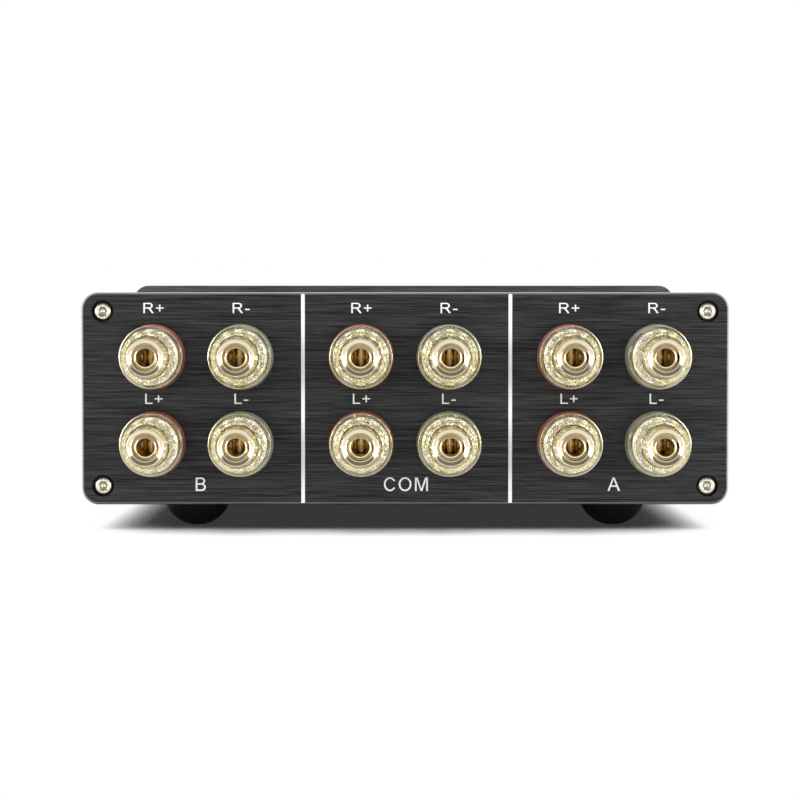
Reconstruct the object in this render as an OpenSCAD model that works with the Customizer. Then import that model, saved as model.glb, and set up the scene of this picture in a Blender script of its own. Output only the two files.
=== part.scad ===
// Speaker selector box: two extruded half shells between end panels, twelve
// binding posts at the back and a rotary wafer switch behind the front panel.
// Millimetres. +Z is up, the knob faces -Y and the posts face +Y. The origin
// is the middle of the footprint, on the surface that the feet stand on.

/* [Case] */
// Width of both end panels
panel_w = 151; // [146:1:180]
// Height of the rear panel
rear_h = 49.5; // [49:0.25:56]
// Thickness of the rear panel
rear_t = 3; // [2.6:0.1:4]
// How far the front panel stands above and below the rear one
front_rise = 3.75; // [1:0.25:6]
// Thickness of the front panel
front_t = 6; // [5.5:0.5:8]
// Corner radius of both panels
panel_r = 4; // [3:0.1:5]
// Radius of the rounded outer edge of both panels
edge_r = 0.5; // [0.2:0.05:0.8]
// How far the rear panel overhangs the case on every side
panel_lip = 2; // [0.5:0.25:2.5]
// Length of the case between the panels
body_len = 104; // [90:1:150]
// Wall of the extruded half shells
wall = 2; // [1.8:0.1:2.4]
// Height of the tongue that locates one half shell in the other
tongue_h = 1.5; // [1:0.1:2.5]
// How far the guide rails for a board stand in from the side walls
rail_w = 2; // [1:0.25:3]

/* [Feet] */
// Height of the domed rubber feet
foot_h = 8; // [7:0.5:12]
// Diameter of a foot at the case
foot_d = 16.4; // [16:0.2:20]
// Distance of a foot from the middle of the case, across
foot_x = 50; // [30:1:60]
// Distance of a foot from the end of the case
foot_inset = 15; // [10:1:30]

/* [Panel screws] */
// Diameter of the screw shank
screw_d = 2.4; // [2:0.1:2.6]
// Length of the screw under its head
screw_len = 10; // [8:1:16]
// Diameter of the socket head
head_d = 4.2; // [4:0.1:4.8]
// Height of the socket head
head_h = 1.8; // [1.4:0.1:2]
// Depth that the head sinks below the face of a panel
head_sink = 0.2; // [0:0.1:0.4]
// Hexagon key size, across flats
hex_af = 2; // [1.5:0.5:2.5]
// Distance of the screws from the sides of the panels
screw_inset_x = 5; // [4.8:0.1:5.5]
// Distance of the screws from the top and bottom of the rear panel
screw_inset_z = 4.4; // [4.3:0.1:5]

/* [Binding posts] */
// Distance between the middles of neighbouring sections
section_pitch = 48.4; // [46:0.2:50]
// Distance between the two columns of a section
pair_pitch = 20.4; // [18:0.2:22]
// Distance between the two rows
row_pitch = 20.2; // [18:0.2:22]
// How far the middle of the rows lies below the middle of the panel
row_drop = 0.4; // [0:0.05:0.8]
// Diameter of the insulating collar
collar_d = 15.2; // [14.8:0.1:17]
// Thickness of the collar outside the panel
collar_t = 3; // [2:0.25:4]
// Distance from the panel to the tip of the cap
post_reach = 19; // [17:0.5:22]
// Diameter of the socket for a plug
socket_d = 4.1; // [4:0.05:4.2]
// Outer diameter of the threaded core
core_d = 6; // [5.6:0.1:6.4]
// Diameter of the hole through the core for a bare wire
wire_hole_d = 3.8; // [2:0.1:3.8]
// Diameter of the clamp ring
ring_d = 12.6; // [11.5:0.1:13.5]
// Diameter of the smooth rim at the back of a cap
cap_rim_d = 14.5; // [14:0.1:14.8]
// Diameter of a cap's grip at the back
grip_back_d = 12.9; // [12.8:0.1:13.4]
// Diameter of a cap's grip at the front
grip_front_d = 11.2; // [11:0.1:12]
// Height of the cone at a cap's front
cone_h = 0.95; // [0.4:0.05:1.2]
// Number of flutes round a cap
flutes = 12; // [10:1:14]
// Depth of a flute
flute_depth = 0.45; // [0.2:0.05:0.5]
// Radius of a flute
flute_r = 2; // [1.4:0.1:2.4]
// Diameter of the insert at a cap's tip
insert_d = 8.5; // [8:0.1:9]
// Diameter of the insert's knurled flange
knurl_d = 12.6; // [12:0.1:12.8]
// Number of knurl grooves
knurls = 60; // [40:4:64]
// Diameter of the stud behind the panel
stud_d = 5; // [4:0.1:5.2]
// How far the stud reaches behind the panel
stud_reach = 10.5; // [10:0.5:14]
// Diameter of the inner bush
bush_d = 13; // [11:0.5:14]
// Thickness of the inner bush behind the panel
bush_t = 1.8; // [1:0.1:2.4]
// Post nut, across flats
post_nut_af = 8; // [7.5:0.1:9]
// Thickness of a post nut
post_nut_t = 3; // [2:0.25:3]
// Thickness of a solder lug
lug_t = 0.8; // [0.5:0.1:1]
// Distance from the stud to the wire on a solder lug
lug_reach = 8; // [7:0.25:8.5]

/* [Selector switch] */
// Diameter of the knob
knob_d = 32; // [26:1:38]
// Length of the knob
knob_len = 15.5; // [12:0.5:20]
// Gap between the knob and the front panel
knob_gap = 0.5; // [0.3:0.1:1]
// Number of grooves round the knob
knob_grooves = 40; // [24:4:48]
// Diameter of the shaft
shaft_d = 6; // [5.6:0.1:6.2]
// Diameter of the threaded bushing
bushing_d = 9; // [8:0.5:10]
// Distance of the tie rods from the shaft
rod_x = 16; // [15:0.5:18]
// Diameter of a tie rod
rod_d = 2.4; // [2:0.1:2.6]
// Diameter of a wafer
wafer_d = 25; // [24:0.5:26]
// Thickness of a wafer
wafer_t = 1.6; // [1.2:0.1:2]
// Distance from the front panel to the first wafer
wafer_back = 10; // [9:0.5:14]
// Distance from one wafer to the next
wafer_pitch = 10; // [9:0.5:12]
// Diameter of a rotor disc
rotor_d = 15.6; // [15:0.1:16]
// Diameter of the wires
wire_d = 1.8; // [1.2:0.1:2]

/* [Hidden] */
$fn = 48;

// Clearances: held faces, loose holes, turning parts, and over moving contacts
tight_gap = 0.05;
loose_gap = 0.1;
turn_gap = 0.04;
open_gap = 0.3;

// Case
panel_z = foot_h - panel_lip;
case_w = panel_w - 2 * panel_lip;
case_h = rear_h - 2 * panel_lip;
case_r = panel_r - panel_lip;
mid_z = panel_z + rear_h / 2;
front_in = -body_len / 2;
rear_out = body_len / 2 + rear_t;
front_h = rear_h + 2 * front_rise;
screw_x = panel_w / 2 - screw_inset_x;
screw_z = rear_h / 2 - screw_inset_z;
tapping_r = screw_d / 2 + tight_gap;
channel_r = tapping_r + 1.6;
head_recess = head_h + head_sink;
head_gap = 0.45;
rail_t = 1.2;
rail_slot = 1.8;
rail_drop = 8;

// Posts: name, place across and up on the panel as seen from behind, side
// of its pair, and row
SECTIONS = [["b", -1], ["com", 0], ["a", 1]];
ROWS = [["right", 1], ["left", -1]];
SIDES = [["pos", -1], ["neg", 1]];
POSTS = [
    for (section = SECTIONS, row = ROWS, side = SIDES) [
        str(section[0], "_", row[0], "_", side[0]),
        section[1] * section_pitch + side[1] * pair_pitch / 2,
        row[1] * row_pitch / 2 - row_drop,
        side[1],
        row[1]
    ]
];

// Heights in a post are counted outwards from the face of the rear panel
core_r = core_d / 2;
socket_r = socket_d / 2;
stud_r = stud_d / 2;
boss_d = stud_d + 3.4;
boss_len = rear_t / 2 - loose_gap;
core_flange_d = ring_d - 1.8;
core_flange_top = collar_t + 1;
core_tip = post_reach - 0.8;
root_r = core_r - 0.4;
lead_in = 0.9;
fine_edge = 0.15;
key_flat = 0.35;
wire_hole_z = core_flange_top + loose_gap + wire_hole_d / 2;
ring_bottom = core_flange_top + loose_gap;
ring_top = ring_bottom + 1;
neck_r = core_r + 1;
lip_r = neck_r + 0.3;
cap_bottom = ring_top + loose_gap;
lip_bottom = cap_bottom + 1.3;
lip_top = lip_bottom + 0.6;
knurl_r = knurl_d / 2;
knurl_top = lip_top + 0.5;
groove_r = 0.25;
insert_r = insert_d / 2;
mouth_r = insert_r - 0.3;
mouth_land = 0.25;
shell_top = post_reach - 0.4;
shell_rim_top = knurl_top + 0.6;
cone_base = shell_top - cone_h;
lug_in = -rear_t - bush_t - post_nut_t - lug_t;
lug_ring_r = stud_r + 1.8;
lug_tail_w = 3;
stud_end = -rear_t - stud_reach;

// Switch, counted outwards from the back of the front panel
frame_t = 1.5;
recess_d = 17;
recess_floor = front_t - 3.4;
washer_t = 0.5;
bushing_nut_t = 2;
bushing_nut_af = bushing_d + 3;
bushing_top = front_t - 0.4;
shaft_r = shaft_d / 2;
knob_back = front_t + knob_gap;
knob_front = knob_back + knob_len;
knob_hollow = 3.5;
knob_wall = 3;
hub_r = shaft_r + 3.5;
pointer_w = 1.2;
pointer_len = 6;
bore_top = knob_front - 4.5;
grub_z = knob_back + knob_len / 2;
grub_d = 3;
grub_len = 6;
grub_af = 1.5;
index_r = knob_d / 2 + 4;
index_d = 1.6;
wheel_r = 8;
wheel_t = 2;
wheel_back = -frame_t - loose_gap - wheel_t;
wheel_notches = 12;
step_angle = 360 / wheel_notches;
blade_w = 5;
blade_t = 2;
spring_t = 0.4;
dimple_r = 1.3;
tab_x = 7.5;
tab_y = wheel_r + 1.6;
tab_t = 1.2;
rod_hole_r = rod_d / 2 + tight_gap;
ear_d = rod_d + 6.6;
spacer_d = rod_d + 2.1;
rod_nut_af = rod_d + 2.6;
rod_nut_t = 2;
WAFER_FRONTS = [-wafer_back, -wafer_back - wafer_pitch];
wafer_last = -wafer_back - wafer_pitch - wafer_t;
rod_end = wafer_last - rod_nut_t - 0.8;
POLES = [90, 270];
THROWS = [-step_angle, 0, step_angle];

// Contacts: a half ring for each pole, under clips that are riveted to the wafer
contact_t = 0.4;
contact_out = rotor_d / 2 - 1.2;
contact_in = contact_out - 2.4;
contact_tab = 2.2;
pole_gap = 1.2;
common_reach = contact_in + 1.4;
throw_reach = contact_out + 0.4;
clip_lift = contact_t + loose_gap;
clip_back = clip_lift + contact_t;
clip_w = 1.8;
rivet_r = wafer_d / 2 - 2;
rivet_d = 1.2;
rivet_head_d = 1.8;
rivet_head_t = 0.3;
tail_r = wafer_d / 2 + 3;
wire_seat_r = wafer_d / 2 + 1.7;

// Wires: each runs from its lug straight in, over one turning point chosen by
// hand (across, along and up from the middle of the case), past the second
// wafer where it goes to the first one, and straight on to its terminal.
// Columns: post, wafer, terminal angle, angle where it passes the second
// wafer, turning point.
WIRES = [
    [0, 0, 60, 45, [34, 12, 7]],
    [1, 1, 60, 60, [23, 12, 10]],
    [2, 0, 60, 45, [34, 12, 7]],
    [3, 1, 60, 60, [23, 12, 10]],
    [4, 0, 90, 75, [8, 12, 9]],
    [5, 1, 90, 90, [-4, 12, 9]],
    [6, 0, 90, 75, [8, 12, 9]],
    [7, 1, 90, 90, [-4, 12, 9]],
    [8, 0, 120, 135, [-24, 12, 5]],
    [9, 1, 120, 120, [-32, 12, 15]],
    [10, 0, 120, 135, [-24, 12, 5]],
    [11, 1, 120, 120, [-32, 12, 15]]
];
wire_sides = 8;
pass_r = wafer_d / 2 + 3.6;

// Frames: the rear one is drawn as seen from behind, the front one as seen
// from the front; both have z outwards
module rear_face() translate([0, rear_out, mid_z]) rotate([90, 0, 180]) children();
module front_face() translate([0, front_in, mid_z]) rotate([90, 0, 0]) children();
module at_post(post) rear_face() translate([post[1], post[2], 0]) children();
module at_corners(x, y) {
    for (side = [-1, 1], level = [-1, 1])
        translate([side * x, level * y, 0]) children();
}

// Shared shapes
module rounded_rect(w, h, r) {
    square([w - 2 * r, h], center = true);
    square([w, h - 2 * r], center = true);
    at_corners(w / 2 - r, h / 2 - r) circle(r = r);
}

// Plate with round corners, whose outer edge is rounded to the radius e
module rounded_plate(w, h, t, r, e) {
    function edge(x, angles) = [for (a = angles) [x - e + e * cos(a), t - e + e * sin(a)]];
    function section(x) = concat(
        [[-x, 0], [x, 0]],
        edge(x, [0 : 22.5 : 90]),
        [for (point = edge(x, [90 : -22.5 : 0])) [-point[0], point[1]]]
    );
    at_corners(w / 2 - r, h / 2 - r) rotate_extrude()
        polygon(concat([[0, 0], [r, 0]], edge(r, [0 : 22.5 : 90]), [[0, t]]));
    rotate([90, 0, 0]) linear_extrude(h - 2 * r, center = true) polygon(section(w / 2));
    rotate([90, 0, 90]) linear_extrude(w - 2 * r, center = true) polygon(section(h / 2));
}

module hex_prism(af, h) cylinder(r = af / 2 / cos(30), h = h, $fn = 6);

module tube(d, hole_d, h) {
    difference() {
        cylinder(d = d, h = h);
        translate([0, 0, -1]) cylinder(d = hole_d, h = h + 2);
    }
}

// Tube of round section along a path that keeps off the vertical
module swept_wire(path) {
    last = len(path) - 1;
    function unit(v) = v / norm(v);
    function heading(i) = unit(path[min(i + 1, last)] - path[max(i - 1, 0)]);
    function ring(i) =
        let (t = heading(i), u = unit(cross(t, [0, 0, 1])), v = cross(u, t))
        [for (k = [0 : wire_sides - 1])
            path[i] + wire_d / 2 * (cos(360 * k / wire_sides) * u
                + sin(360 * k / wire_sides) * v)];
    points = [for (i = [0 : last], p = ring(i)) p];
    sides = [
        for (i = [0 : last - 1], k = [0 : wire_sides - 1])
            let (n = (k + 1) % wire_sides, a = i * wire_sides)
            each [
                [a + k, a + n, a + wire_sides + n],
                [a + k, a + wire_sides + n, a + wire_sides + k]
            ]
    ];
    caps = [
        [for (k = [wire_sides - 1 : -1 : 0]) k],
        [for (k = [0 : wire_sides - 1]) last * wire_sides + k]
    ];
    polyhedron(points, concat(sides, caps));
}

// Case
module case_outline() {
    difference() {
        rounded_rect(case_w, case_h, case_r);
        difference() {
            square([case_w - 2 * wall, case_h - 2 * wall], center = true);
            at_corners(screw_x, screw_z) circle(r = channel_r);
        }
        at_corners(screw_x, screw_z) circle(r = tapping_r);
    }
}

module half_plane(level) {
    translate([-case_w, level < 0 ? -case_h : 0]) square([2 * case_w, case_h]);
}

module case_top() {
    color("#26272a") translate([0, 0, mid_z]) rotate([90, 0, 0])
        linear_extrude(body_len, center = true) {
            intersection() {
                case_outline();
                half_plane(1);
            }
            for (side = [-1, 1])
                translate([side * (case_w / 2 - wall * 3 / 4 - loose_gap / 2), 0])
                    square([wall / 2 - loose_gap, 2 * tongue_h], center = true);
        }
}

module case_bottom() {
    rail_h = 2 * rail_t + rail_slot;
    color("#26272a") translate([0, 0, mid_z]) rotate([90, 0, 0])
        linear_extrude(body_len, center = true) {
            difference() {
                intersection() {
                    case_outline();
                    half_plane(-1);
                }
                for (side = [-1, 1])
                    translate([side * (case_w / 2 - wall), 0])
                        square([wall, 2 * (tongue_h + loose_gap)], center = true);
            }
            for (side = [-1, 1])
                translate([side * (case_w / 2 - wall - rail_w / 2), -rail_drop])
                    difference() {
                        square([rail_w + 1, rail_h], center = true);
                        translate([-side * wall / 2, 0])
                            square([rail_w + 1, rail_slot], center = true);
                    }
        }
}

module screw_holes(t) {
    at_corners(screw_x, screw_z) {
        translate([0, 0, -1]) cylinder(d = screw_d + 2 * loose_gap, h = t + 2);
        translate([0, 0, t - head_recess])
            cylinder(d = head_d + 2 * head_gap, h = head_recess + 1);
    }
}

module rear_panel() {
    color("#303134") rear_face() {
        translate([0, 0, -rear_t]) difference() {
            rounded_plate(panel_w, rear_h, rear_t, panel_r, edge_r);
            screw_holes(rear_t);
            for (post = POSTS)
                translate([post[1], post[2], -1])
                    cylinder(d = boss_d + 2 * loose_gap, h = rear_t + 2);
        }
    }
}

module front_panel() {
    color("#303134") front_face() {
        difference() {
            rounded_plate(panel_w, front_h, front_t, panel_r, edge_r);
            screw_holes(front_t);
            translate([0, 0, -1]) cylinder(d = bushing_d + 2 * loose_gap, h = front_t + 2);
            translate([0, 0, recess_floor]) cylinder(d = recess_d, h = front_t);
            for (turn = THROWS)
                rotate(turn) translate([0, index_r, front_t - 0.3]) cylinder(d = index_d, h = 1);
        }
    }
}

module screw() {
    difference() {
        rotate_extrude() polygon([
            [0, -screw_len], [screw_d / 2 - 0.3, -screw_len], [screw_d / 2, 0.3 - screw_len],
            [screw_d / 2, 0], [head_d / 2, 0], [head_d / 2, head_h - 0.25],
            [head_d / 2 - 0.25, head_h], [0, head_h]
        ]);
        translate([0, 0, head_h - 1.1]) hex_prism(hex_af, 2);
    }
}

module case_screws() {
    color("#c9c4b4") {
        rear_face() at_corners(screw_x, screw_z)
            translate([0, 0, -head_recess]) screw();
        front_face() at_corners(screw_x, screw_z)
            translate([0, 0, front_t - head_recess]) screw();
    }
}

module feet() {
    color("#0e0e0f") for (side = [-1, 1], end = [-1, 1])
        translate([side * foot_x, end * (body_len / 2 - foot_inset), 0])
            intersection() {
                translate([0, 0, foot_h]) sphere(d = foot_d);
                translate([0, 0, foot_h / 2]) cube([2 * foot_d, 2 * foot_d, foot_h], center = true);
            }
}

// Binding posts
// The core's end is turned down to the root of its thread
module post_core() {
    thread_end = core_tip - lead_in;
    difference() {
        rotate_extrude() polygon([
            [0, stud_end], [stud_r - 0.4, stud_end], [stud_r, stud_end + 0.4],
            [stud_r, collar_t], [core_flange_d / 2, collar_t],
            [core_flange_d / 2, core_flange_top], [core_r, core_flange_top],
            [core_r, thread_end], [root_r, thread_end + core_r - root_r],
            [root_r, core_tip - fine_edge], [root_r - fine_edge, core_tip],
            [socket_r + fine_edge, core_tip], [socket_r, core_tip - fine_edge],
            [socket_r, wire_hole_z], [0, wire_hole_z]
        ]);
        // flat that keeps the clamp ring from turning
        translate([core_r - key_flat, -core_r, core_flange_top])
            cube([core_r, core_d, post_reach]);
        // upright hole for a bare wire, where the socket ends
        translate([0, 0, wire_hole_z]) rotate([90, 0, 0])
            cylinder(d = wire_hole_d, h = 2 * core_d, center = true);
    }
}

module post_cores() color("#c8a24a") for (post = POSTS) at_post(post) post_core();

module collar() {
    rotate_extrude() polygon([
        [stud_r + loose_gap, -boss_len], [boss_d / 2, -boss_len], [boss_d / 2, 0],
        [collar_d / 2, 0], [collar_d / 2, collar_t - 0.5],
        [collar_d / 2 - 0.5, collar_t], [stud_r + loose_gap, collar_t]
    ]);
}

module collars(side) {
    for (post = POSTS)
        if (post[3] == side) at_post(post) collar();
}

module red_collars() color("#b03a30") collars(-1);
module clear_collars() color("#d9d9cf") collars(1);

module inner_bush() {
    back = -rear_t - bush_t;
    rotate_extrude() polygon([
        [stud_r + loose_gap, back], [bush_d / 2, back], [bush_d / 2, -rear_t],
        [boss_d / 2, -rear_t], [boss_d / 2, boss_len - rear_t],
        [stud_r + loose_gap, boss_len - rear_t]
    ]);
}

module inner_bushes() color("#1b1b1d") for (post = POSTS) at_post(post) inner_bush();

module post_nut() {
    difference() {
        hex_prism(post_nut_af, post_nut_t);
        translate([0, 0, -1]) cylinder(r = stud_r + tight_gap, h = post_nut_t + 2);
    }
}

module post_nuts() {
    color("#c8a24a") for (post = POSTS) at_post(post) {
        translate([0, 0, lug_in + lug_t]) post_nut();
        translate([0, 0, lug_in - post_nut_t]) post_nut();
    }
}

// The tail of a lug points to the middle of the panel
module solder_lug(row) {
    translate([0, 0, lug_in]) linear_extrude(lug_t) difference() {
        union() {
            circle(r = lug_ring_r);
            translate([0, -row * lug_reach / 2]) square([lug_tail_w, lug_reach], center = true);
            translate([0, -row * lug_reach]) circle(d = lug_tail_w);
        }
        circle(r = stud_r + tight_gap);
    }
}

module solder_lugs() {
    color("#d8c28a") for (post = POSTS) at_post(post) solder_lug(post[4]);
}

module clamp_ring() {
    bore = core_r + tight_gap;
    color("#d2ab52") {
        rotate_extrude() polygon([
            [bore, ring_bottom], [ring_d / 2 - 0.2, ring_bottom],
            [ring_d / 2, ring_bottom + 0.2], [ring_d / 2, ring_top],
            [neck_r, ring_top], [neck_r, lip_bottom], [lip_r, lip_bottom],
            [lip_r, lip_top], [bore, lip_top]
        ]);
        // key that rides on the flat of the core
        translate([0, 0, ring_bottom]) linear_extrude(lip_top - ring_bottom)
            intersection() {
                circle(r = bore + 0.2);
                translate([core_r - key_flat + tight_gap, -core_r]) square([core_r, core_d]);
            }
    }
}

module cap_insert() {
    run = tight_gap + turn_gap / 4;
    color("#d2ab52") difference() {
        rotate_extrude() polygon([
            [neck_r + run, cap_bottom], [knurl_r - 0.2, cap_bottom],
            [knurl_r, cap_bottom + 0.2], [knurl_r, knurl_top],
            [insert_r, knurl_top], [insert_r, post_reach - fine_edge],
            [insert_r - fine_edge, post_reach], [mouth_r, post_reach],
            [core_r + mouth_land, core_tip], [core_r + tight_gap, core_tip],
            [core_r + tight_gap, lip_top + tight_gap],
            [lip_r + run, lip_top + tight_gap], [lip_r + run, lip_bottom - tight_gap],
            [neck_r + run, lip_bottom - tight_gap]
        ]);
        for (k = [0 : knurls - 1])
            rotate(360 * k / knurls) translate([knurl_r + groove_r / 2, 0, 0])
                cylinder(r = groove_r, h = post_reach, $fn = 16);
    }
}

module cap_shell() {
    rim_r = cap_rim_d / 2;
    back_r = grip_back_d / 2;
    front_r = grip_front_d / 2;
    pocket_r = knurl_r + tight_gap;
    pocket_top = knurl_top + tight_gap;
    inner_r = insert_r + tight_gap;
    taper = atan((back_r - front_r) / (cone_base - shell_rim_top));
    color("#e4e0c8", 0.5) difference() {
        rotate_extrude() polygon([
            [pocket_r, cap_bottom], [rim_r - 0.3, cap_bottom], [rim_r, cap_bottom + 0.3],
            [rim_r, shell_rim_top - 0.8], [rim_r - 0.3, shell_rim_top - 0.5],
            [back_r, shell_rim_top], [front_r, cone_base], [inner_r, shell_top],
            [inner_r, pocket_top], [pocket_r, pocket_top]
        ]);
        for (k = [0 : flutes - 1])
            rotate(360 * k / flutes)
                translate([back_r + flute_r - flute_depth, 0, shell_rim_top + flute_r])
                    rotate([0, -taper, 0]) {
                        cylinder(r = flute_r, h = post_reach);
                        sphere(r = flute_r);
                    }
    }
}

// Selector switch
module switch_frame() {
    color("#b9bcc0") front_face() {
        difference() {
            union() {
                translate([0, 0, -frame_t]) linear_extrude(frame_t) wafer_outline();
                cylinder(d = bushing_d, h = bushing_top);
                for (side = [-1, 1])
                    translate([side * (tab_x + tab_t / 2), tab_y, -frame_t - 1.7])
                        cube([tab_t, 3, 3.4], center = true);
            }
            translate([0, 0, -frame_t - 1])
                cylinder(r = shaft_r + turn_gap, h = bushing_top + frame_t + 2);
            rod_holes(-frame_t);
        }
        // leaf spring between the tabs, with a dimple over the detent wheel
        translate([0, tab_y, wheel_back + wheel_t / 2]) {
            cube([2 * tab_x, spring_t, wheel_t], center = true);
            sphere(r = dimple_r);
        }
    }
}

module rod_holes(z) {
    for (side = [-1, 1])
        translate([side * rod_x, 0, z - 1]) cylinder(r = rod_hole_r, h = wafer_t + 2);
}

module wafer_outline() {
    circle(d = wafer_d);
    square([2 * rod_x, ear_d], center = true);
    for (side = [-1, 1]) translate([side * rod_x, 0]) circle(d = ear_d);
}

module switch_nut() {
    color("#c4c7ca") front_face() {
        translate([0, 0, recess_floor])
            tube(bushing_d + 6, bushing_d + 2 * loose_gap, washer_t);
        translate([0, 0, recess_floor + washer_t]) difference() {
            hex_prism(bushing_nut_af, bushing_nut_t);
            translate([0, 0, -1]) cylinder(d = bushing_d + loose_gap, h = bushing_nut_t + 2);
        }
    }
}

module at_terminals() {
    for (pole = POLES, throw = THROWS)
        rotate(pole + throw) children();
}

module wafers() {
    color("#7a5230") front_face() for (front = WAFER_FRONTS)
        translate([0, 0, front - wafer_t]) difference() {
            linear_extrude(wafer_t) wafer_outline();
            translate([0, 0, -1]) cylinder(d = rotor_d + 2 * open_gap, h = wafer_t + 2);
            rod_holes(0);
            at_terminals() translate([rivet_r, 0, -1])
                cylinder(d = rivet_d + 2 * tight_gap, h = wafer_t + 2, $fn = 24);
        }
}

// A clip lies over the rotor, is riveted to the wafer and ends in a solder tail
module terminal(reach) {
    translate([reach, -clip_w / 2, -clip_back]) cube([tail_r - reach, clip_w, contact_t]);
    translate([rivet_r - 1, -clip_w / 2, -clip_back]) cube([2, clip_w, clip_back]);
    translate([rivet_r, 0, -contact_t])
        cylinder(d = rivet_d, h = wafer_t + contact_t + rivet_head_t / 3, $fn = 24);
    translate([rivet_r, 0, wafer_t]) cylinder(d = rivet_head_d, h = rivet_head_t, $fn = 24);
}

module wafer_terminals() {
    color("#d8d2b8") front_face() for (front = WAFER_FRONTS, pole = POLES, throw = THROWS)
        translate([0, 0, front - wafer_t]) rotate(pole + throw)
            terminal(throw == 0 ? common_reach : throw_reach);
}

module tie_rods() {
    color("#b9bcc0") front_face() for (side = [-1, 1]) translate([side * rod_x, 0, 0]) {
        translate([0, 0, rod_end]) cylinder(d = rod_d, h = -rod_end);
        translate([0, 0, -wafer_back])
            tube(spacer_d, 2 * rod_hole_r, wafer_back - frame_t);
        translate([0, 0, -wafer_back - wafer_pitch])
            tube(spacer_d, 2 * rod_hole_r, wafer_pitch - wafer_t);
        translate([0, 0, wafer_last - rod_nut_t]) difference() {
            hex_prism(rod_nut_af, rod_nut_t);
            translate([0, 0, -1]) cylinder(r = rod_hole_r, h = rod_nut_t + 2);
        }
    }
}

module shaft() {
    color("#c4c7ca") front_face() {
        difference() {
            translate([0, 0, wheel_back]) cylinder(r = shaft_r, h = bore_top - 0.2 - wheel_back);
            // flat under the grub screw
            translate([-shaft_d, -shaft_r - 1, grub_z - 4])
                cube([2 * shaft_d, 1.5, knob_len]);
        }
        translate([0, 0, wheel_back]) linear_extrude(wheel_t) difference() {
            circle(r = wheel_r);
            for (k = [0 : wheel_notches - 1])
                rotate(360 * k / wheel_notches + 90) translate([wheel_r + 0.7, 0]) circle(r = dimple_r);
        }
        translate([-blade_t / 2, -blade_w / 2, wafer_last - 1])
            cube([blade_t, blade_w, wheel_back - wafer_last + 1.5]);
    }
}

module rotor_discs() {
    color("#e6e2d6") front_face() for (front = WAFER_FRONTS)
        translate([0, 0, front - wafer_t]) linear_extrude(wafer_t) difference() {
            circle(d = rotor_d);
            square([blade_t + 2 * tight_gap, blade_w + 2 * tight_gap], center = true);
        }
}

// Two half rings on each rotor, one for each pole, with a tab that reaches a
// throw's clip when the rotor is turned by one step
module rotor_contacts() {
    color("#d8d2b8") front_face() for (front = WAFER_FRONTS, pole = POLES)
        translate([0, 0, front - wafer_t - contact_t]) rotate(pole - 90)
            linear_extrude(contact_t) {
                intersection() {
                    difference() {
                        circle(r = contact_out);
                        circle(r = contact_in);
                    }
                    translate([-rotor_d / 2, pole_gap]) square([rotor_d, rotor_d / 2]);
                }
                translate([-contact_tab / 2, rotor_d / 2 - 0.2 - contact_tab]) square(contact_tab);
            }
}

module knob() {
    r = knob_d / 2;
    color("#2a2b2e") front_face() difference() {
        rotate_extrude() polygon([
            [0, bore_top], [shaft_r + turn_gap, bore_top], [shaft_r + turn_gap, knob_back],
            [hub_r, knob_back], [hub_r, knob_back + knob_hollow],
            [r - knob_wall, knob_back + knob_hollow], [r - knob_wall, knob_back],
            [r - 0.4, knob_back], [r, knob_back + 0.4],
            [r, knob_front - 1.4], [r - 1.4, knob_front], [r - 3.2, knob_front],
            [r - 3.6, knob_front - 0.4], [0, knob_front - 0.4]
        ]);
        for (k = [0 : knob_grooves - 1])
            rotate(360 * (k + 0.5) / knob_grooves) translate([r + 0.35, 0, knob_back + 2.5])
                cylinder(r = 0.7, h = knob_len - 6, $fn = 24);
        // pointer line across the rim
        translate([-pointer_w / 2, r - pointer_len, knob_front - 0.9])
            cube([pointer_w, pointer_len + 1, 2]);
        translate([0, 0, grub_z]) rotate([90, 0, 0]) cylinder(d = grub_d + 2 * tight_gap, h = r + 1);
    }
}

module knob_screw() {
    color("#3a3b3e") front_face() translate([0, -shaft_r + 0.5, grub_z]) rotate([90, 0, 0])
        difference() {
            cylinder(d = grub_d, h = grub_len);
            translate([0, 0, grub_len - 2]) hex_prism(grub_af, 3);
        }
}

// Wires
function lug_point(post) = [
    -post[1],
    rear_out + lug_in,
    mid_z + post[2] - post[4] * lug_reach
];

function wire_path(wire) =
    let (
        post = POSTS[wire[0]],
        row = post[4],
        start = lug_point(post),
        seat_y = front_in - WAFER_FRONTS[wire[1]] + wafer_t + clip_back,
        pass_y = front_in - WAFER_FRONTS[1] + wafer_t + clip_back,
        last = [wire_seat_r * cos(wire[2]), seat_y, mid_z + row * wire_seat_r * sin(wire[2])],
        radius = wire[1] == 0 ? pass_r : wire_seat_r,
        side = [radius * cos(wire[3]), mid_z + row * radius * sin(wire[3])],
        mid = wire[4]
    )
    concat(
        [start, start - [0, 8, 0], [mid[0], mid[1], mid_z + row * mid[2]],
         [side[0], pass_y + 9, side[1]]],
        wire[1] == 0 ? [[side[0], pass_y - 3, side[1]], last + [0, 2.5, 0]] : [],
        [last]
    );

module wires(side) {
    for (wire = WIRES)
        if (POSTS[wire[0]][3] == side) swept_wire(wire_path(wire));
}

module wires_red() color("#a02622") wires(-1);
module wires_black() color("#19191b") wires(1);

case_top();
case_bottom();
rear_panel();
front_panel();
case_screws();
feet();
post_cores();
red_collars();
clear_collars();
inner_bushes();
post_nuts();
solder_lugs();
switch_frame();
switch_nut();
wafers();
wafer_terminals();
tie_rods();
wires_red();
wires_black();
shaft();
rotor_discs();
rotor_contacts();
knob();
knob_screw();
for (post = POSTS) {
    at_post(post) clamp_ring();
    at_post(post) cap_insert();
    at_post(post) cap_shell();
}
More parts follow.
